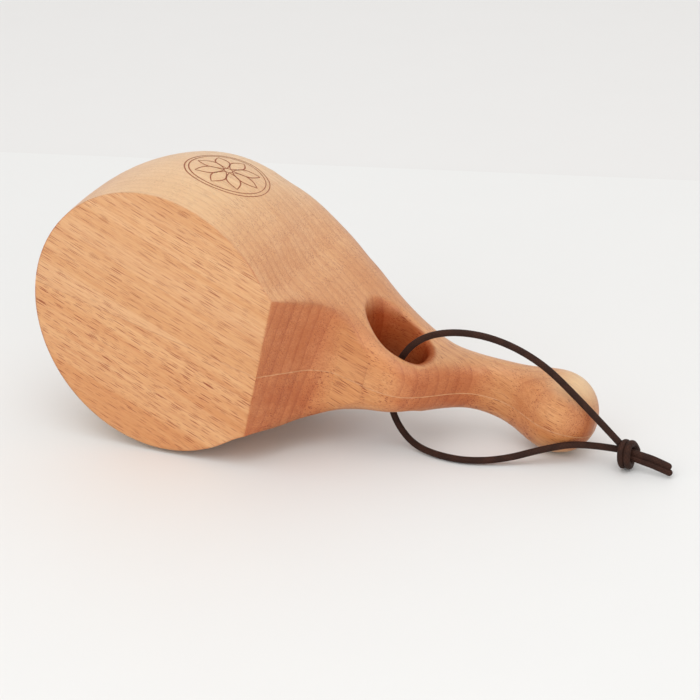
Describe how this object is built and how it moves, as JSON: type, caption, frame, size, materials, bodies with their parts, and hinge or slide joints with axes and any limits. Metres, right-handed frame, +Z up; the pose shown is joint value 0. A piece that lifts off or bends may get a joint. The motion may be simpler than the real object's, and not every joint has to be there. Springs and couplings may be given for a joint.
{
  "type": "kuksa cup",
  "caption": "Carved wooden drinking cup lying on its side, with a rounded handle, a finger hole and a knotted cord loop through it.",
  "frame": {"origin": "on the table, under the middle of the cup's bounding box, measured without the cord", "axes": "+Z up as the cup lies on its side, +X from the bowl towards the handle tip, +Y from the cup's base towards its rim"},
  "size_m": [0.1844, 0.0522, 0.0827],
  "materials": {
    "beech_upper": "oiled satin",
    "beech_lower": "oiled satin",
    "wood_glue": "matt",
    "cord": "matt waxed"
  },
  "bodies": {
    "root": {"upper_board": "beech_upper", "lower_board": "beech_lower", "glue_line": "wood_glue", "cord_loop": "cord", "cord_knot": "cord"}
  },
  "joints": []
}
